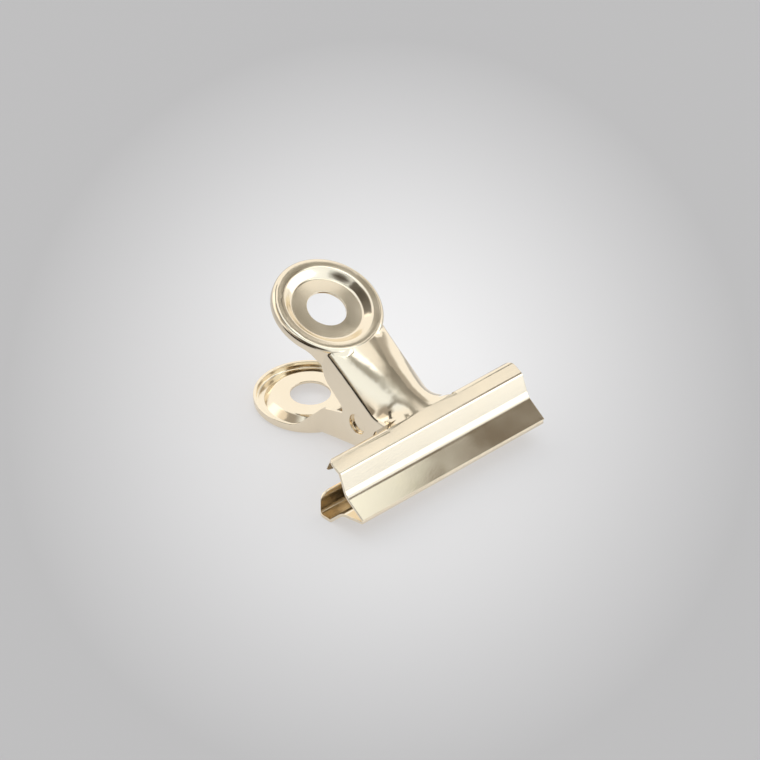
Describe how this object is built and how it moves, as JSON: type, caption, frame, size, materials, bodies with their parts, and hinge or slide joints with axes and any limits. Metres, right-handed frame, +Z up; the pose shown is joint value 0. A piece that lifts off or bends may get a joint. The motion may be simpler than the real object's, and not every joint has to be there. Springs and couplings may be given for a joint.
{
  "type": "bulldog clip",
  "caption": "Small bulldog paper clip of nickel-plated sheet steel: a straight gripping bar, arched necks with dished finger loops, and a flat spring that holds the lips shut.",
  "frame": {"origin": "middle of the underside of the closed clip's bounding box, on the surface it lies on", "axes": "+X along the gripping bar, +Y from the lips towards the finger loops, +Z up from the lower jaw's outer face"},
  "size_m": [0.032, 0.0348, 0.0201],
  "materials": {
    "nickel_plate": "polished",
    "spring_steel": "satin"
  },
  "bodies": {
    "lower": {"lower_jaw": "nickel_plate", "spring": "spring_steel"},
    "upper": {"upper_jaw": "nickel_plate"}
  },
  "joints": [
    {"name": "jaw_hinge", "type": "hinge", "parent": "lower", "child": "upper", "pos_m": [0, -0.00415, 0.00608], "axis": [-1, 0, 0], "range_deg": [0, 40], "stiffness_Nm_per_rad": 0.0015, "springref_deg": -28.65, "deforming": ["spring"]}
  ]
}
